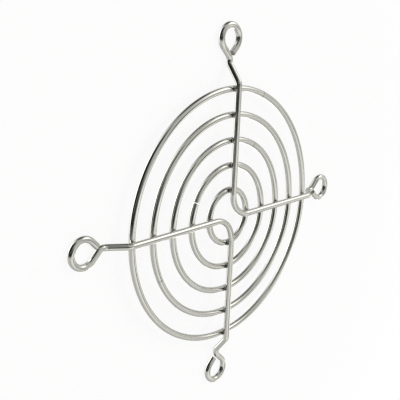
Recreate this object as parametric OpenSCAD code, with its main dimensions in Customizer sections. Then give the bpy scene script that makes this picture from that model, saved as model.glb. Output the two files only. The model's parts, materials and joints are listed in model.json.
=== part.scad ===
// Wire fan guard: five welded wire rings on two bent support wires.
//
// The guard lies in the XY plane as it rests on its four eyelets, with the
// eyelets' wire touching z = 0. +Z is the fan's axis, pointing away from the
// fan, and the arms lie on the diagonals. Each support wire is one bent piece:
// eyelet, step, arm, hub bend, arm, step, eyelet. The rings lie under the arms.

/* [Fan fixing] */
// Spacing of the fan's screw holes, along X and along Y
hole_spacing = 71.5; // [68:0.1:84]
// Bore of each eyelet, for the shank of a fan screw
eyelet_bore = 5.5; // [4.6:0.1:6.6]
// Depth of the flat that the forming pin leaves inside each eyelet
pin_flat = 0.05; // [0.03:0.01:0.08]

/* [Wire] */
// Diameter of the rings' wire
ring_wire = 1.8; // [1.4:0.05:2.2]
// Diameter of the support wires
arm_wire = 1.8; // [1.4:0.05:2.2]

/* [Rings] */
// Mean diameter of ring 1, the innermost
ring_1_dia = 16; // [14:0.5:20]
// Clear length of arm between ring 5, the outermost, and the steps
rim_clearance = 0.1; // [0.05:0.05:2]
// Gap where the two ends of a ring's wire meet
butt_gap = 0.15; // [0.1:0.01:0.3]

/* [Welds] */
// How far each crossing is pressed together
weld_set_down = 0.15; // [0.1:0.01:0.25]
// Diameter of the metal squeezed out round each weld, as a share of the wire
weld_spread = 0.94; // [0.8:0.01:0.97]

/* [Support wires] */
// Drop from the arms to the eyelets
step_drop = 3.8; // [3:0.1:5]
// Inside radius of the two bends of each step
step_bend_inside = 1.2; // [0.6:0.1:2]
// Straight wire between the foot of a step and the eyelet's neck
step_foot = 0.2; // [0.1:0.1:1]
// Clear length of arm between the bend at the hub and ring 1
hub_clearance = 0.2; // [0.1:0.1:2]
// Inside radius of the bend at each eyelet's neck
neck_bend_inside = 1; // [0.6:0.1:2]
// Gap between the cut end of an eyelet and its neck
tip_gap = 0.5; // [0.3:0.1:0.8]

/* [Hidden] */
$fn = 48;

ring_colour = [0.72, 0.73, 0.70];
arm_colour = [0.82, 0.83, 0.80];

// Heights of the centre lines, from the eyelets up
eyelet_z = arm_wire / 2;
arm_z = eyelet_z + step_drop;
ring_z = arm_z - (arm_wire + ring_wire) / 2 + weld_set_down;

// Centre-line radii of the bends
step_r = step_bend_inside + arm_wire / 2;
neck_r = neck_bend_inside + arm_wire / 2;
eyelet_r = eyelet_bore / 2 - pin_flat + arm_wire / 2;

// The neck leaves the arm's line at 45 degrees and the cut end comes back
// square to it, so the loop between them turns through three quarters
neck_angle = 45;
loop_angle = 270;

// The step falls 3 in 4
step_angle = atan(3 / 4);
step_straight = (step_drop - 2 * step_r * (1 - cos(step_angle))) / sin(step_angle);
step_run = 2 * step_r * sin(step_angle) + step_straight * cos(step_angle);

// Distances along an arm, from the fan's axis
eyelet_at = hole_spacing / sqrt(2);
neck_at = eyelet_at - eyelet_r / sin(neck_angle) - neck_r * tan(neck_angle / 2);
step_at = neck_at - step_foot - step_run;

// The rings' centre-line radii step evenly from ring 1 out to the rim, and the
// bend at the hub just clears ring 1
ring_1_r = ring_1_dia / 2;
rim_r = step_at - ring_wire / 2 - rim_clearance;
ring_pitch = (rim_r - ring_1_r) / 4;
ring_radii = [for (step = [0:4]) ring_1_r + step * ring_pitch];
hub_r = ring_1_r - ring_wire / 2 - hub_clearance;

// Where each ring's two ends meet, innermost ring first
seam_angles = [75, 290, 200, 340, 205];

// Straight wire before and after an eyelet's loop
neck_straight = eyelet_r - neck_r * tan(neck_angle / 2);
tip_straight = eyelet_r - arm_wire / 2 - tip_gap;

// How far a cutting shape reaches past what it cuts
cut_past = 1;

// ---- Wire forming ----

// A straight length of support wire along +X, then what follows it
module feed(length) {
    rotate([-90, 0, -90])
        cylinder(h = length, d = arm_wire);
    translate([length, 0, 0])
        children();
}

// A bend to the left through an angle, then what follows it
module bend(radius, angle) {
    translate([0, radius, 0]) {
        rotate_extrude(angle = angle, start = -90)
            translate([radius, 0])
                circle(d = arm_wire);
        rotate([0, 0, angle])
            translate([0, -radius, 0])
                children();
    }
}

// Turns the wire about its own length, so that the next bend goes another way
module roll(angle) {
    rotate([angle, 0, 0])
        children();
}

// ---- Support wires ----

// The wire of an eyelet: a neck to the left, a loop to the right, a cut end
module eyelet_wire() {
    bend(neck_r, neck_angle)
        feed(neck_straight)
            roll(180)
                bend(eyelet_r, loop_angle)
                    feed(tip_straight);
}

// The wire from the hub bend outwards: arm, step down, foot, eyelet
module arm_and_eyelet() {
    translate([hub_r, 0, arm_z])
        feed(step_at - hub_r)
            roll(-90)
                bend(step_r, step_angle)
                    feed(step_straight)
                        roll(180)
                            bend(step_r, step_angle)
                                roll(-90)
                                    feed(step_foot)
                                        eyelet_wire();
}

// What the forming pin leaves round inside the eyelet of an arm
module pin_bore() {
    translate([eyelet_at, 0, -cut_past])
        cylinder(h = arm_wire + 2 * cut_past, d = eyelet_bore);
}

// Metal squeezed out of the five welds of an arm
module weld_metal() {
    for (radius = ring_radii)
        translate([radius, 0, ring_z])
            cylinder(h = arm_z - ring_z, d = weld_spread * min(arm_wire, ring_wire));
}

// The bend at the hub, between an arm along +X and an arm along +Y
module hub_bend() {
    translate([hub_r, hub_r, arm_z])
        rotate_extrude(angle = 90, start = 180)
            translate([hub_r, 0])
                circle(d = arm_wire);
}

// One whole support wire, with arms along +X and +Y
module support_wire() {
    color(arm_colour)
        difference() {
            union() {
                hub_bend();
                for (turn = [0, 90])
                    rotate([0, 0, turn]) {
                        arm_and_eyelet();
                        weld_metal();
                    }
            }
            for (turn = [0, 90])
                rotate([0, 0, turn])
                    pin_bore();
            for (radius = ring_radii)
                ring_form(radius);
        }
}

// ---- Rings ----

// A ring's wire, all the way round from between the arms
module ring_form(radius) {
    translate([0, 0, ring_z])
        rotate([0, 0, 225])
            rotate_extrude()
                translate([radius, 0])
                    circle(d = ring_wire);
}

// One ring, with its two ends butted together at an angle round the guard
module ring(index) {
    radius = ring_radii[index];
    gap_angle = butt_gap / (2 * PI * radius) * 360;
    color(ring_colour)
        translate([0, 0, ring_z])
            rotate([0, 0, seam_angles[index]])
                rotate_extrude(angle = 360 - gap_angle, start = gap_angle / 2)
                    translate([radius, 0])
                        circle(d = ring_wire);
}

module ring_1() { ring(0); }
module ring_2() { ring(1); }
module ring_3() { ring(2); }
module ring_4() { ring(3); }
module ring_5() { ring(4); }

// The two support wires lie back to back across the hub
module support_wire_a() {
    rotate([0, 0, -45])
        support_wire();
}

module support_wire_b() {
    rotate([0, 0, 135])
        support_wire();
}

ring_1();
ring_2();
ring_3();
ring_4();
ring_5();
support_wire_a();
support_wire_b();
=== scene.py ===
"""Wire fan guard: plated finish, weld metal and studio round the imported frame."""

import json
import math

import bmesh
import bpy
from mathutils import Matrix, Vector, noise


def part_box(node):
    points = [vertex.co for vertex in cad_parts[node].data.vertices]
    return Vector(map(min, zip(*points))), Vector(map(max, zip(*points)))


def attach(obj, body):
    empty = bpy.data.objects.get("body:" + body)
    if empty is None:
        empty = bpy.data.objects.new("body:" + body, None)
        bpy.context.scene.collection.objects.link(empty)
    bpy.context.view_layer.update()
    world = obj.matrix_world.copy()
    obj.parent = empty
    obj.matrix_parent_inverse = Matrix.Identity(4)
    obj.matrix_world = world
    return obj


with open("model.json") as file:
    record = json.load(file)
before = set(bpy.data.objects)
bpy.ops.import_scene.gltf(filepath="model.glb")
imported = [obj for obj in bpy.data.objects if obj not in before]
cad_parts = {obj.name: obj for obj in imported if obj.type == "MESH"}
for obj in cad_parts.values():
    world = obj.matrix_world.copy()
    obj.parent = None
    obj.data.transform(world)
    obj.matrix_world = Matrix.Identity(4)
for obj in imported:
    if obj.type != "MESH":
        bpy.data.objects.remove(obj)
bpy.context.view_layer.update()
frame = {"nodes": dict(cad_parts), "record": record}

MM = 0.001

# The x or y of one step along a diagonal
DIAGONAL = math.sqrt(0.5)

RINGS = ["ring_1", "ring_2", "ring_3", "ring_4", "ring_5"]
SUPPORT_WIRES = ["support_wire_a", "support_wire_b"]


# ---- Sizes, read from the frame ----

ring_low, ring_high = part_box("ring_5")
wire_r = (ring_high.z - ring_low.z) / 2
ring_z = (ring_high.z + ring_low.z) / 2
arm_low, arm_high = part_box("support_wire_a")
arm_z = arm_high.z - wire_r
ring_radii = [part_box(name)[1].y - wire_r for name in RINGS]
ring_pitch = ring_radii[1] - ring_radii[0]

# An eyelet's mount gives its centre, and the support wire's box its loop
mounts = {mount["name"]: mount for mount in frame["record"]["mounts"]}
eyelet_x = mounts["eyelet_back_right"]["pos_m"][0]
eyelet_centre = Vector((eyelet_x, eyelet_x, 0))
eyelet_at = eyelet_centre.length
eyelet_r = arm_high.x - eyelet_x - wire_r

# The frame doesn't give the clear gaps at the hub and at the eyelets' tips, so
# they are the source's own values
HUB_CLEARANCE = 0.2 * MM
TIP_GAP = 0.5 * MM
hub_r = ring_radii[0] - wire_r - HUB_CLEARANCE
hub_bend_centre = Vector((hub_r * math.sqrt(2), 0, 0))

ARMS = {
    "back_right": math.radians(45),
    "back_left": math.radians(135),
    "front_left": math.radians(225),
    "front_right": math.radians(315),
}
WELDED_FIRST = ("back_right", "front_left")


# ---- Camera ----

CAMERA_AT = Vector((60.91, -142.0, 124.66)) * MM
CAMERA_AIM = Vector((3.63, -13.66, 3.05)) * MM
CAMERA_ROLL = math.radians(106.19)
CAMERA_LENS = 60.52
SENSOR_WIDTH = 36
NEAREST_SEEN = 0.01
FARTHEST_SEEN = 20


def make_camera():
    """The camera, rolled so that the guard's axis points to the right."""
    data = bpy.data.cameras.new("camera")
    data.lens = CAMERA_LENS
    data.sensor_width = SENSOR_WIDTH
    data.clip_start = NEAREST_SEEN
    data.clip_end = FARTHEST_SEEN
    camera = bpy.data.objects.new("camera", data)
    bpy.context.scene.collection.objects.link(camera)
    look = (CAMERA_AIM - CAMERA_AT).to_track_quat("-Z", "Y").to_matrix().to_4x4()
    camera.matrix_world = (
        Matrix.Translation(CAMERA_AT) @ look @ Matrix.Rotation(CAMERA_ROLL, 4, "Z")
    )
    bpy.context.scene.camera = camera


# ---- Node helpers ----


def new_group(name, inputs, outputs):
    """An empty shader node group with named sockets: (name, type, default)."""
    group = bpy.data.node_groups.new(name, "ShaderNodeTree")
    for label, kind, default in inputs:
        socket = group.interface.new_socket(label, in_out="INPUT", socket_type=kind)
        if default is not None:
            socket.default_value = default
    for label, kind in outputs:
        group.interface.new_socket(label, in_out="OUTPUT", socket_type=kind)
    source = group.nodes.new("NodeGroupInput")
    sink = group.nodes.new("NodeGroupOutput")
    return group, source, sink


def maths(tree, operation, a, b=None, c=None, clamp=False):
    """A Math node. Each operand is a socket or a number."""
    node = tree.nodes.new("ShaderNodeMath")
    node.operation = operation
    node.use_clamp = clamp
    for slot, value in enumerate((a, b, c)):
        feed(tree, node.inputs[slot], value)
    return node.outputs[0]


def vector_maths(tree, operation, a, b=None, output="Vector"):
    """A Vector Math node. Each operand is a socket or three numbers."""
    node = tree.nodes.new("ShaderNodeVectorMath")
    node.operation = operation
    feed(tree, node.inputs[0], a)
    feed(tree, node.inputs[1], b)
    return node.outputs[output]


def feed(tree, socket, value):
    """Links a socket, or sets a plain value on it."""
    if value is None:
        return
    if isinstance(value, bpy.types.NodeSocket):
        tree.links.new(value, socket)
    else:
        socket.default_value = value


def place(tree, group, **values):
    """Puts a node group in a tree and fills its inputs by name."""
    node = tree.nodes.new("ShaderNodeGroup")
    node.node_tree = group
    for label, value in values.items():
        feed(tree, node.inputs[label.replace("_", " ")], value)
    return node


def separated(tree, point):
    """The X, Y and Z of a point, by name."""
    node = tree.nodes.new("ShaderNodeSeparateXYZ")
    feed(tree, node.inputs[0], point)
    return node.outputs


def mottle(tree, point, size, detail=2.0):
    """A noise from 0 to 1 whose patches are about one size."""
    node = tree.nodes.new("ShaderNodeTexNoise")
    feed(tree, node.inputs["Vector"], point)
    node.inputs["Scale"].default_value = 1 / size
    node.inputs["Detail"].default_value = detail
    return node.outputs[0]


def faded(tree, value, gone, full):
    """1 where the value is below full, 0 above gone, and smooth between them."""
    node = tree.nodes.new("ShaderNodeMapRange")
    node.interpolation_type = "SMOOTHSTEP"
    feed(tree, node.inputs["Value"], value)
    node.inputs["From Min"].default_value = gone
    node.inputs["From Max"].default_value = full
    return node.outputs[0]


def shaded(tree, share, first, second):
    """The first colour, going over to the second one as the share rises to 1."""
    node = tree.nodes.new("ShaderNodeMix")
    node.data_type = "RGBA"
    feed(tree, node.inputs["Factor"], share)
    feed(tree, node.inputs["A"], first)
    feed(tree, node.inputs["B"], second)
    return node.outputs["Result"]


# ---- Studio ----

WHITE = (1, 1, 1, 1)

# The tent's tint, and the level of its cloth where no card or opening is
TENT_TINT = (1, 1, 0.95, 1)
ROOM_LEVEL = 0.53

# How crisp the edge of a card or an opening is
SOFT = 2
CRISP = 8

# Cards and openings of the tent: azimuth, elevation, turn, half width and half
# height in degrees, edge, and the level that it shows. A later one lies over
# those before it. Azimuths turn from the front towards the right.
TENT = {
    "broad card right": (160, 60, 0, 50, 30, SOFT, 0.95),
    "table": (20, -65, 0, 35, 20, SOFT, 2.4),
    "upper opening": (30, 45, -5, 22, 35, SOFT, 0.1),
    "low opening": (15, -5, -45, 60, 30, CRISP, 0.02),
    "tall opening": (50, 30, 0, 12, 80, SOFT, 0.02),
    "side opening": (-60, -15, 0, 27, 30, SOFT, 0.04),
    "window": (-95, 25, -30, 19, 19, SOFT, 1.8),
    "low card left": (-175, -40, -15, 14, 12, SOFT, 2.2),
    "upper edge left": (-140, 50, 50, 20, 6, SOFT, 0.04),
    "far edge left": (-175, 50, -55, 14, 8, SOFT, 0.05),
    "slit left": (-160, 20, 0, 2.5, 45, SOFT, 1.5),
    "slit right": (180, -15, 10, 3.5, 20, SOFT, 2.2),
}


def bearing(azimuth, elevation):
    """The direction at an azimuth and an elevation, both in degrees."""
    around, up = math.radians(azimuth), math.radians(elevation)
    return (
        math.sin(around) * math.cos(up),
        -math.cos(around) * math.cos(up),
        math.sin(up),
    )


def panel_axes(azimuth, elevation, turn):
    """Where a panel is, and its turned sideways and upward directions."""
    around, twist = math.radians(azimuth), math.radians(turn)
    towards = Vector(bearing(azimuth, elevation))
    side = Vector((math.cos(around), math.sin(around), 0))
    up = side.cross(towards) * -1
    return (
        towards,
        side * math.cos(twist) + up * math.sin(twist),
        up * math.cos(twist) - side * math.sin(twist),
    )


def soft_panel_group():
    """A soft-edged panel of one level, set into the light behind it."""
    group, source, sink = new_group(
        "soft panel",
        [
            ("Behind", "NodeSocketFloat", 0.0),
            ("Direction", "NodeSocketVector", None),
            ("Towards", "NodeSocketVector", None),
            ("Across", "NodeSocketVector", None),
            ("Upwards", "NodeSocketVector", None),
            ("Crispness", "NodeSocketFloat", 2.0),
            ("Level", "NodeSocketFloat", 0.0),
        ],
        [("Light", "NodeSocketFloat")],
    )
    given = source.outputs
    ahead = vector_maths(group, "DOT_PRODUCT", given["Direction"], given["Towards"], "Value")
    across = vector_maths(group, "DOT_PRODUCT", given["Direction"], given["Across"], "Value")
    upwards = vector_maths(group, "DOT_PRODUCT", given["Direction"], given["Upwards"], "Value")
    upwards_squared = maths(group, "MULTIPLY", upwards, upwards)
    spread = maths(group, "MULTIPLY_ADD", across, across, upwards_squared)
    edge = maths(group, "POWER", spread, given["Crispness"])
    cover = maths(group, "EXPONENT", maths(group, "MULTIPLY", edge, -1.0))
    cover = maths(group, "MULTIPLY", cover, maths(group, "GREATER_THAN", ahead, 0.0))
    step = maths(group, "SUBTRACT", given["Level"], given["Behind"])
    light = maths(group, "MULTIPLY_ADD", cover, step, given["Behind"])
    group.links.new(light, sink.inputs["Light"])
    return group


def make_world():
    """A pale tent with openings. What the camera sees of it is white."""
    world = bpy.data.worlds.new("studio")
    bpy.context.scene.world = world
    world.use_nodes = True
    tree = world.node_tree
    tree.nodes.clear()
    direction = tree.nodes.new("ShaderNodeTexCoord").outputs["Generated"]
    panel = soft_panel_group()
    level = ROOM_LEVEL
    for azimuth, elevation, turn, half_width, half_height, crispness, amount in TENT.values():
        towards, across, upwards = panel_axes(azimuth, elevation, turn)
        piece = place(
            tree,
            panel,
            Behind=level,
            Direction=direction,
            Towards=towards,
            Across=across / math.sin(math.radians(half_width)),
            Upwards=upwards / math.sin(math.radians(half_height)),
            Crispness=crispness,
            Level=amount,
        )
        level = piece.outputs["Light"]
    room = tree.nodes.new("ShaderNodeBackground")
    room.inputs["Color"].default_value = TENT_TINT
    feed(tree, room.inputs["Strength"], level)
    white = tree.nodes.new("ShaderNodeBackground")
    white.inputs["Color"].default_value = WHITE
    seen = tree.nodes.new("ShaderNodeMixShader")
    feed(tree, seen.inputs[0], tree.nodes.new("ShaderNodeLightPath").outputs["Is Camera Ray"])
    tree.links.new(room.outputs[0], seen.inputs[1])
    tree.links.new(white.outputs[0], seen.inputs[2])
    output = tree.nodes.new("ShaderNodeOutputWorld")
    tree.links.new(seen.outputs[0], output.inputs["Surface"])


FLOOR_HALF = 1.2
FLOOR_WHITE = (0.92, 0.92, 0.92, 1)

# Under the guard the sheet glows by this share and takes light for the rest,
# which is where its shadow shows. The glow is whole from the reach outwards.
FLOOR_GLOW_SHARE = 0.88
SHADOW_REACH = 0.16


def make_floor():
    """A white sheet under the eyelets, which keeps the guard's shadow."""
    mesh = bpy.data.meshes.new("floor")
    corners = [(-1, -1), (1, -1), (1, 1), (-1, 1)]
    spots = [(x * FLOOR_HALF, y * FLOOR_HALF, 0) for x, y in corners]
    mesh.from_pydata(spots, [], [(0, 1, 2, 3)])
    floor = bpy.data.objects.new("floor", mesh)
    bpy.context.scene.collection.objects.link(floor)
    material = bpy.data.materials.new("white sheet")
    material.use_nodes = True
    tree = material.node_tree
    tree.nodes.clear()
    path = tree.nodes.new("ShaderNodeLightPath")
    sheet = tree.nodes.new("ShaderNodeBsdfDiffuse")
    sheet.inputs["Color"].default_value = FLOOR_WHITE
    glow = tree.nodes.new("ShaderNodeEmission")
    glow.inputs["Color"].default_value = WHITE
    glow.inputs["Strength"].default_value = 1.0
    lit = tree.nodes.new("ShaderNodeMixShader")
    spot = tree.nodes.new("ShaderNodeTexCoord").outputs["Object"]
    distance = vector_maths(tree, "LENGTH", spot, output="Value")
    far_out = maths(tree, "DIVIDE", distance, SHADOW_REACH)
    share = maths(tree, "MULTIPLY", maths(tree, "POWER", far_out, 2.0), 1 - FLOOR_GLOW_SHARE)
    share = maths(tree, "ADD", share, FLOOR_GLOW_SHARE, clamp=True)
    share = maths(tree, "MULTIPLY", share, path.outputs["Is Camera Ray"])
    feed(tree, lit.inputs[0], share)
    tree.links.new(sheet.outputs[0], lit.inputs[1])
    tree.links.new(glow.outputs[0], lit.inputs[2])
    # The plating mirrors the tent, whose lower half stands for this sheet
    clear = tree.nodes.new("ShaderNodeBsdfTransparent")
    seen = tree.nodes.new("ShaderNodeMixShader")
    feed(tree, seen.inputs[0], path.outputs["Is Glossy Ray"])
    tree.links.new(lit.outputs[0], seen.inputs[1])
    tree.links.new(clear.outputs[0], seen.inputs[2])
    output = tree.nodes.new("ShaderNodeOutputMaterial")
    tree.links.new(seen.outputs[0], output.inputs["Surface"])
    mesh.materials.append(material)


# Azimuth and elevation in degrees, and watts
LAMPS = {
    "key lamp": (-110, 50, 2.2),
    "fill lamp": (60, 65, 1.2),
}
LAMP_SIZE = 0.5
LAMP_DISTANCE = 0.9


def make_lamps():
    """Two broad lamps, which only shape the shadow on the floor."""
    for name, (azimuth, elevation, watts) in LAMPS.items():
        data = bpy.data.lights.new(name, "AREA")
        data.shape = "SQUARE"
        data.size = LAMP_SIZE
        data.energy = watts
        lamp = bpy.data.objects.new(name, data)
        bpy.context.scene.collection.objects.link(lamp)
        towards = Vector(bearing(azimuth, elevation))
        lamp.location = towards * LAMP_DISTANCE
        lamp.rotation_mode = "QUATERNION"
        lamp.rotation_quaternion = (-towards).to_track_quat("-Z", "Y")
        lamp.visible_glossy = False


# ---- Where things are on the guard ----
#
# The four quarters of the guard are alike once x and y lose their signs: every
# arm then lies along the diagonal, with its eyelet at one point and its hub
# bend about another. The welder does the front left and back right arms first,
# at full heat, which leaves bigger ears of weld metal there. The weld creases of
# these two arms also get full painted shade, standing for the dark reflection
# and shadow there, and the other two arms keep only a trace of it.

# Painted shade in the weld creases of the other two arms, as a share of the full
OTHER_ARMS_SHADE = 0.12


def folded_place_group():
    """How far along an arm a point is, how far aside, and how much painted shade its weld creases
    get.
    """
    group, source, sink = new_group(
        "place on an arm",
        [("Point", "NodeSocketVector", None)],
        [
            ("Along", "NodeSocketFloat"),
            ("Aside", "NodeSocketFloat"),
            ("Height", "NodeSocketFloat"),
            ("Scorch", "NodeSocketFloat"),
        ],
    )
    point = source.outputs["Point"]
    # x and y have the same sign on the front left and back right arms alone
    signed = separated(group, point)
    same_sign = maths(group, "MULTIPLY", signed["X"], signed["Y"])
    fully_shaded_arm = maths(group, "GREATER_THAN", same_sign, 0.0)
    # Painted shade: full on those two arms, a trace on the others
    painted_shade = maths(group, "MULTIPLY_ADD", fully_shaded_arm, 1 - OTHER_ARMS_SHADE, OTHER_ARMS_SHADE)
    folded = separated(group, vector_maths(group, "ABSOLUTE", point))
    total = maths(group, "ADD", folded["X"], folded["Y"])
    difference = maths(group, "SUBTRACT", folded["X"], folded["Y"])
    feed(group, sink.inputs["Along"], maths(group, "MULTIPLY", total, DIAGONAL))
    feed(group, sink.inputs["Aside"], maths(group, "MULTIPLY", difference, DIAGONAL))
    feed(group, sink.inputs["Height"], folded["Z"])
    feed(group, sink.inputs["Scorch"], painted_shade)
    return group


def turned_place_group():
    """How far a point is from a centre, and how far round it, both as lengths."""
    group, source, sink = new_group(
        "place round a bend",
        [("Point", "NodeSocketVector", None), ("Centre", "NodeSocketVector", None)],
        [("Around", "NodeSocketFloat"), ("Outwards", "NodeSocketFloat")],
    )
    given = source.outputs
    offset = separated(group, vector_maths(group, "SUBTRACT", given["Point"], given["Centre"]))
    x, y = offset["X"], offset["Y"]
    squares = maths(group, "MULTIPLY_ADD", x, x, maths(group, "MULTIPLY", y, y))
    outwards = maths(group, "SQRT", squares)
    angle = maths(group, "ARCTAN2", y, x)
    feed(group, sink.inputs["Outwards"], outwards)
    feed(group, sink.inputs["Around"], maths(group, "MULTIPLY", angle, outwards))
    return group


# ---- Finishes ----

# Colours, as the share of light that each gives back
PLATE = (0.80, 0.80, 0.772, 1)
PLATE_WORN = (0.74, 0.737, 0.70, 1)
# Near-black: painted shade in the weld creases, and the darker tears of a sheared end
PAINTED_SHADE_AND_TEAR = (0.055, 0.055, 0.05, 1)
CUT_STEEL = (0.62, 0.61, 0.58, 1)

# The plating: how far its cloud goes towards worn, and how rough it is
WORN_SHARE = 0.7
PLATE_ROUGHNESS = 0.085
ROUGHNESS_SPREAD = 0.10
LINES_ROUGHNESS = 0.05
HAZE_ROUGHNESS = 0.07
CLOUD_SIZE = 2.5 * MM
CLOUD_DETAIL = 4.0
GRAIN_SIZE = 0.12 * MM
GRAIN_DETAIL = 3.0

# The lines of the drawing die
LINE_PITCH = 0.11 * MM
LINE_LENGTH = 9 * MM
LINE_DETAIL = 2.0
LINE_BREAKUP = 0.6

# Relief: its depth, and how deep grain and haze lumps are against the lines
BUMP_DEPTH = 0.0035 * MM
GRAIN_RELIEF = 0.35
HAZE_RELIEF = 3.0

# Weld marks: a haze round each weld, and painted shade in its crease for the
# dark reflection and shadow there, both drawn out sideways, with wavy edges
HAZE_REACH = 2.4 * MM
CREASE_SHADE_REACH = 1.4 * MM
CREASE_SHADE_EDGE = 0.25 * MM
HAZE_AND_SHADE_SLENDER = 0.75
CREASE_SHADE_SHARE = 0.8
EDGE_WAVE = 0.7 * MM
EDGE_WAVE_DEPTH = 0.4 * MM
CREASE_GONE = 0.5 * wire_r
CREASE_FULL = 0.25 * wire_r
ARM_PAINTED_SHADE = 0.2

# Weld metal: painted shade beyond the arm's sides, none under it
METAL_PAINTED_SHADE = 0.75
METAL_HAZE = 0.6
METAL_SHADE_FROM = 0.9 * wire_r
METAL_UNSHADED_TO = 0.55 * wire_r
METAL_LUMP = 0.25 * MM
METAL_DETAIL = 4.0
METAL_RELIEF = 4

# Sheared ends
TEAR_SIZE = 0.15 * MM
TEAR_DETAIL = 5.0
TEAR_RELIEF = 8
CUT_ROUGHNESS = 0.22
TEAR_ROUGHNESS = 0.4

# How far beyond its centre line an eyelet's lines run round it
EYELET_BAND = 1.3 * wire_r


def drawn_lines_group():
    """Fine lines that the drawing die leaves along a wire."""
    group, source, sink = new_group(
        "drawn lines",
        [
            ("Along", "NodeSocketFloat", 0.0),
            ("Across", "NodeSocketFloat", 0.0),
            ("Height", "NodeSocketFloat", 0.0),
        ],
        [("Lines", "NodeSocketFloat")],
    )
    given = source.outputs
    joined = group.nodes.new("ShaderNodeCombineXYZ")
    feed(group, joined.inputs["X"], maths(group, "DIVIDE", given["Along"], LINE_LENGTH))
    feed(group, joined.inputs["Y"], maths(group, "DIVIDE", given["Across"], LINE_PITCH))
    feed(group, joined.inputs["Z"], maths(group, "DIVIDE", given["Height"], LINE_PITCH))
    lines = group.nodes.new("ShaderNodeTexNoise")
    feed(group, lines.inputs["Vector"], joined.outputs[0])
    lines.inputs["Scale"].default_value = 1.0
    lines.inputs["Detail"].default_value = LINE_DETAIL
    lines.inputs["Roughness"].default_value = LINE_BREAKUP
    feed(group, sink.inputs["Lines"], lines.outputs[0])
    return group


def weld_haze_and_shade_group(place_group):
    """How near a point is to a weld, and how much painted shade it gets in the crease."""
    group, source, sink = new_group(
        "weld marks",
        [("Point", "NodeSocketVector", None)],
        [("Haze", "NodeSocketFloat"), ("Scorch", "NodeSocketFloat")],
    )
    point = source.outputs["Point"]
    spot = place(group, place_group, Point=point).outputs
    from_first = maths(group, "SUBTRACT", spot["Along"], ring_radii[0])
    to_ring = maths(group, "PINGPONG", from_first, ring_pitch / 2)
    aside = maths(group, "MULTIPLY", spot["Aside"], HAZE_AND_SHADE_SLENDER)
    squares = maths(group, "MULTIPLY_ADD", to_ring, to_ring, maths(group, "MULTIPLY", aside, aside))
    wave = mottle(group, point, EDGE_WAVE)
    distance = maths(group, "SQRT", squares)
    distance = maths(group, "MULTIPLY_ADD", wave, EDGE_WAVE_DEPTH, distance)
    haze = faded(group, distance, HAZE_REACH, CREASE_SHADE_REACH - CREASE_SHADE_EDGE)
    # Painted shade, darkest in the crease between ring and arm
    painted_shade = faded(group, distance, CREASE_SHADE_REACH, CREASE_SHADE_REACH - CREASE_SHADE_EDGE)
    crease_z = (arm_z + ring_z) / 2
    off_crease = maths(group, "ABSOLUTE", maths(group, "SUBTRACT", spot["Height"], crease_z))
    in_crease = faded(group, off_crease, CREASE_GONE, CREASE_FULL)
    painted_shade = maths(group, "MULTIPLY", maths(group, "MULTIPLY", painted_shade, in_crease), spot["Scorch"])
    feed(group, sink.inputs["Haze"], haze)
    feed(group, sink.inputs["Scorch"], painted_shade)
    return group


def plating_group():
    """Bright plating over drawn wire: cloud, fine grain, lines, weld haze and painted crease shade.
    """
    group, source, sink = new_group(
        "bright plating",
        [
            ("Point", "NodeSocketVector", None),
            ("Lines", "NodeSocketFloat", 0.5),
            ("Haze", "NodeSocketFloat", 0.0),
            ("Scorch", "NodeSocketFloat", 0.0),
        ],
        [
            ("Color", "NodeSocketColor"),
            ("Roughness", "NodeSocketFloat"),
            ("Height", "NodeSocketFloat"),
        ],
    )
    given = source.outputs
    cloud = mottle(group, given["Point"], CLOUD_SIZE, CLOUD_DETAIL)
    grain = mottle(group, given["Point"], GRAIN_SIZE, GRAIN_DETAIL)
    plate = shaded(group, maths(group, "MULTIPLY", cloud, WORN_SHARE), PLATE, PLATE_WORN)
    # The painted shade takes the plate colour towards near-black
    painted_shade_share = maths(group, "MULTIPLY", given["Scorch"], CREASE_SHADE_SHARE)
    feed(group, sink.inputs["Color"], shaded(group, painted_shade_share, plate, PAINTED_SHADE_AND_TEAR))
    smoothest = PLATE_ROUGHNESS - ROUGHNESS_SPREAD / 2
    rough = maths(group, "MULTIPLY_ADD", cloud, ROUGHNESS_SPREAD, smoothest)
    rough = maths(group, "MULTIPLY_ADD", given["Lines"], LINES_ROUGHNESS, rough)
    rough = maths(group, "MULTIPLY_ADD", given["Haze"], HAZE_ROUGHNESS, rough)
    feed(group, sink.inputs["Roughness"], rough)
    fine = maths(group, "MULTIPLY_ADD", grain, GRAIN_RELIEF, given["Lines"])
    lumps = maths(group, "MULTIPLY", given["Haze"], cloud)
    feed(group, sink.inputs["Height"], maths(group, "MULTIPLY_ADD", lumps, HAZE_RELIEF, fine))
    return group


def finished(material, colour, roughness, height, depth):
    """Feeds the plating's maps to the shader, which stays in the material."""
    tree = material.node_tree
    shader = tree.nodes["Principled BSDF"]
    shader.inputs["Metallic"].default_value = 1.0
    feed(tree, shader.inputs["Base Color"], colour)
    feed(tree, shader.inputs["Roughness"], roughness)
    bump = tree.nodes.new("ShaderNodeBump")
    bump.inputs["Strength"].default_value = 1.0
    bump.inputs["Distance"].default_value = depth
    feed(tree, bump.inputs["Height"], height)
    tree.links.new(bump.outputs[0], shader.inputs["Normal"])


def new_material(name):
    """A material, its node tree, and the point on the guard as a socket."""
    material = bpy.data.materials.new(name)
    material.use_nodes = True
    tree = material.node_tree
    return material, tree, tree.nodes.new("ShaderNodeTexCoord").outputs["Object"]


def ring_material(groups):
    """Plated ring wire, with its lines running round the guard."""
    material, tree, point = new_material("plated ring wire")
    turned = place(tree, groups["turned"], Point=point).outputs
    lines = place(
        tree,
        groups["lines"],
        Along=turned["Around"],
        Across=turned["Outwards"],
        Height=separated(tree, point)["Z"],
    )
    weld = place(tree, groups["weld"], Point=point).outputs
    plating = place(
        tree,
        groups["plating"],
        Point=point,
        Lines=lines.outputs["Lines"],
        Haze=weld["Haze"],
        Scorch=weld["Scorch"],
    ).outputs
    finished(material, plating["Color"], plating["Roughness"], plating["Height"], BUMP_DEPTH)
    return material


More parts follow.
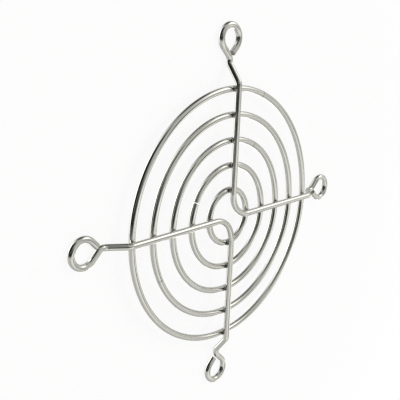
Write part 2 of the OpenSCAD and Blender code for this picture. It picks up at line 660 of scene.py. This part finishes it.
def support_material(groups):
    """Plated support wire: lines along the arms and round the bends."""
    material, tree, point = new_material("plated support wire")
    quarter = vector_maths(tree, "ABSOLUTE", point)
    arm = place(tree, groups["folded"], Point=point).outputs
    eyelet = place(tree, groups["turned"], Point=quarter, Centre=eyelet_centre).outputs
    hub = place(tree, groups["turned"], Point=quarter, Centre=hub_bend_centre).outputs
    on_eyelet = maths(tree, "LESS_THAN", eyelet["Outwards"], eyelet_r + EYELET_BAND)
    on_hub = maths(tree, "LESS_THAN", arm["Along"], hub_r)

    def chosen(straight, at_eyelet, at_hub):
        """The value for whichever stretch of the wire the point is on."""
        value = straight
        for here, other in ((on_eyelet, at_eyelet), (on_hub, at_hub)):
            change = maths(tree, "SUBTRACT", other, value)
            value = maths(tree, "MULTIPLY_ADD", here, change, value)
        return value

    lines = place(
        tree,
        groups["lines"],
        Along=chosen(arm["Along"], eyelet["Around"], hub["Around"]),
        Across=chosen(arm["Aside"], eyelet["Outwards"], hub["Outwards"]),
        Height=arm["Height"],
    )
    weld = place(tree, groups["weld"], Point=point).outputs
    plating = place(
        tree,
        groups["plating"],
        Point=point,
        Lines=lines.outputs["Lines"],
        Haze=weld["Haze"],
        # The support wire takes less of the crease's painted shade
        Scorch=maths(tree, "MULTIPLY", weld["Scorch"], ARM_PAINTED_SHADE),
    ).outputs
    finished(material, plating["Color"], plating["Roughness"], plating["Height"], BUMP_DEPTH)
    return material


def weld_metal_material(groups):
    """Plated weld metal, duller and lumpier than the wire, and darkened by painted shade beyond the
    arm's sides.
    """
    material, tree, point = new_material("plated weld metal")
    spot = place(tree, groups["folded"], Point=point).outputs
    aside = maths(tree, "ABSOLUTE", spot["Aside"])
    under_arm = faded(tree, aside, METAL_SHADE_FROM, METAL_UNSHADED_TO)
    # Painted shade beyond the arm's sides, none under the arm
    painted_shade = maths(tree, "MULTIPLY_ADD", under_arm, -METAL_PAINTED_SHADE, METAL_PAINTED_SHADE)
    plating = place(
        tree,
        groups["plating"],
        Point=point,
        Lines=mottle(tree, point, METAL_LUMP, METAL_DETAIL),
        Haze=METAL_HAZE,
        Scorch=maths(tree, "MULTIPLY", painted_shade, spot["Scorch"]),
    ).outputs
    depth = BUMP_DEPTH * METAL_RELIEF
    finished(material, plating["Color"], plating["Roughness"], plating["Height"], depth)
    return material


def cut_material():
    """Sheared wire: bright steel with darker, rougher tears."""
    material, tree, point = new_material("sheared wire end")
    tear = mottle(tree, point, TEAR_SIZE, TEAR_DETAIL)
    colour = shaded(tree, tear, CUT_STEEL, PAINTED_SHADE_AND_TEAR)
    rough = maths(tree, "MULTIPLY_ADD", tear, TEAR_ROUGHNESS, CUT_ROUGHNESS)
    finished(material, colour, rough, tear, BUMP_DEPTH * TEAR_RELIEF)
    return material


# ---- Small pieces ----

UP = Vector((0, 0, 1))


def arm_directions(angle):
    """Outwards along an arm, and square to it on its left."""
    along = Vector((math.cos(angle), math.sin(angle), 0))
    return along, Vector((-along.y, along.x, 0))


def add_piece(name, shape, material):
    """Links a bmesh as a smooth piece that rides on the guard."""
    bmesh.ops.recalc_face_normals(shape, faces=shape.faces)
    mesh = bpy.data.meshes.new(name)
    shape.to_mesh(mesh)
    shape.free()
    mesh.polygons.foreach_set("use_smooth", [True] * len(mesh.polygons))
    mesh.materials.append(material)
    piece = bpy.data.objects.new(name, mesh)
    bpy.context.scene.collection.objects.link(piece)
    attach(piece, "root")


def join_loops(shape, first, second):
    """A band of faces between two closed loops of as many points."""
    for step in range(len(first)):
        after = (step + 1) % len(first)
        shape.faces.new((first[step], first[after], second[after], second[step]))


# Weld metal: a rim round each crossing, with an ear on each side of the arm
FLASH_RADIUS = 0.76 * MM
FLASH_EAR = 0.14 * MM
LATER_FLASH_EAR = 0.02 * MM
FLASH_LIP = 0.05 * MM
FLASH_LUMP = 0.09 * MM
FLASH_ROUNDNESS = 0.8
LUMP_SPREAD = 0.9
LUMPS_PER_MM = 1.3
FLASH_STEPS = 44
FLASH_SIDES = 12


def weld_flash(name, radius, arm_angle, ear, material):
    """The rim of metal squeezed out between a ring and an arm."""
    shape = bmesh.new()
    along, aside = arm_directions(arm_angle)
    crossing = along * radius
    loops = []
    for step in range(FLASH_STEPS):
        turn = 2 * math.pi * step / FLASH_STEPS
        outwards = along * math.cos(turn) + aside * math.sin(turn)
        lump = noise.noise((crossing / MM + outwards * LUMP_SPREAD) * LUMPS_PER_MM)
        reach = FLASH_RADIUS + lump * FLASH_LUMP + ear * math.sin(turn) ** 4
        # The rim fills the wedge between the arm's underside and the ring's top
        across = min(reach, wire_r) * math.sin(turn)
        out = min(reach, wire_r) * math.cos(turn)
        under_arm = arm_z - math.sqrt(wire_r**2 - across**2)
        over_ring = ring_z + math.sqrt(wire_r**2 - out**2)
        height = (under_arm + over_ring) / 2
        thick = (under_arm - over_ring) / 2 + FLASH_LIP + abs(lump) * FLASH_LUMP / 2
        loop = []
        for side in range(FLASH_SIDES):
            lean = 2 * math.pi * side / FLASH_SIDES
            spot = crossing + outwards * (reach + thick * math.cos(lean) * FLASH_ROUNDNESS)
            spot.z = height + thick * math.sin(lean)
            loop.append(shape.verts.new(spot))
        loops.append(loop)
    for step, loop in enumerate(loops):
        join_loops(shape, loop, loops[(step + 1) % FLASH_STEPS])
    add_piece(name, shape, material)


# A sheared end: a plug whose face stands just proud of the wire's end
CUT_RINGS = 7
CUT_SIDES = 40
CUT_PROUD = 0.02 * MM
CUT_DEPTH = 0.1 * MM
FACE_SHARE = 0.985
SKIRT_SHARE = 0.97
BURR = 0.05 * MM
ROLL_OVER = 0.014 * MM
LIP_SHARPNESS = 6
TEAR_HEIGHT = 0.012 * MM
TEARS_PER_MM = 3.1


def cut_end(name, centre, facing, material):
    """The sheared face of an eyelet's tip: rolled over above, burred below."""
    shape = bmesh.new()
    side = UP.cross(facing)
    turns = [2 * math.pi * step / CUT_SIDES for step in range(CUT_SIDES)]
    spokes = [side * math.cos(turn) + UP * math.sin(turn) for turn in turns]
    loops = []
    for ring in range(1, CUT_RINGS + 1):
        share = ring / CUT_RINGS
        loop = []
        for turn, out in zip(turns, spokes):
            torn = noise.noise((centre / MM + out * share) * TEARS_PER_MM)
            lip = share**LIP_SHARPNESS * (BURR if math.sin(turn) < 0 else -ROLL_OVER)
            proud = CUT_PROUD + lip * abs(math.sin(turn)) + torn * TEAR_HEIGHT
            spot = centre + out * wire_r * FACE_SHARE * share + facing * proud
            loop.append(shape.verts.new(spot))
        loops.append(loop)
    # The skirt goes back into the wire, so the face is a closed plug
    skirt = [
        shape.verts.new(centre + out * wire_r * SKIRT_SHARE - facing * CUT_DEPTH) for out in spokes
    ]
    loops.append(skirt)
    for inner, outer in zip(loops, loops[1:]):
        join_loops(shape, inner, outer)
    face_point = shape.verts.new(centre + facing * CUT_PROUD)
    back_point = shape.verts.new(centre - facing * CUT_DEPTH)
    for step in range(CUT_SIDES):
        after = (step + 1) % CUT_SIDES
        shape.faces.new((face_point, loops[0][after], loops[0][step]))
        shape.faces.new((back_point, skirt[step], skirt[after]))
    add_piece(name, shape, material)


def eyelet_tip(angle):
    """Where the wire of an eyelet ends, and the way that its cut end faces."""
    along, aside = arm_directions(angle)
    centre = along * eyelet_at + UP * wire_r
    loop_end = centre - (along + aside) * (eyelet_r * DIAGONAL)
    facing = (aside - along) * DIAGONAL
    return loop_end + facing * (eyelet_r - wire_r - TIP_GAP), facing


# ---- Making it ----

make_camera()
make_world()
make_floor()
make_lamps()

groups = {
    "folded": folded_place_group(),
    "turned": turned_place_group(),
    "lines": drawn_lines_group(),
    "plating": plating_group(),
}
groups["weld"] = weld_haze_and_shade_group(groups["folded"])

ring_finish = ring_material(groups)
support_finish = support_material(groups)
weld_finish = weld_metal_material(groups)
cut_finish = cut_material()

for name in RINGS:
    frame["nodes"][name].data.materials[0] = ring_finish
for name in SUPPORT_WIRES:
    frame["nodes"][name].data.materials[0] = support_finish

for ring_name, radius in zip(RINGS, ring_radii):
    for arm_name, angle in ARMS.items():
        ear = FLASH_EAR if arm_name in WELDED_FIRST else LATER_FLASH_EAR
        weld_flash(f"weld_{ring_name}_{arm_name}", radius, angle, ear, weld_finish)

for arm_name, angle in ARMS.items():
    tip, facing = eyelet_tip(angle)
    cut_end(f"cut_end_{arm_name}", tip, facing, cut_finish)

bpy.context.scene.view_settings.view_transform = "Standard"
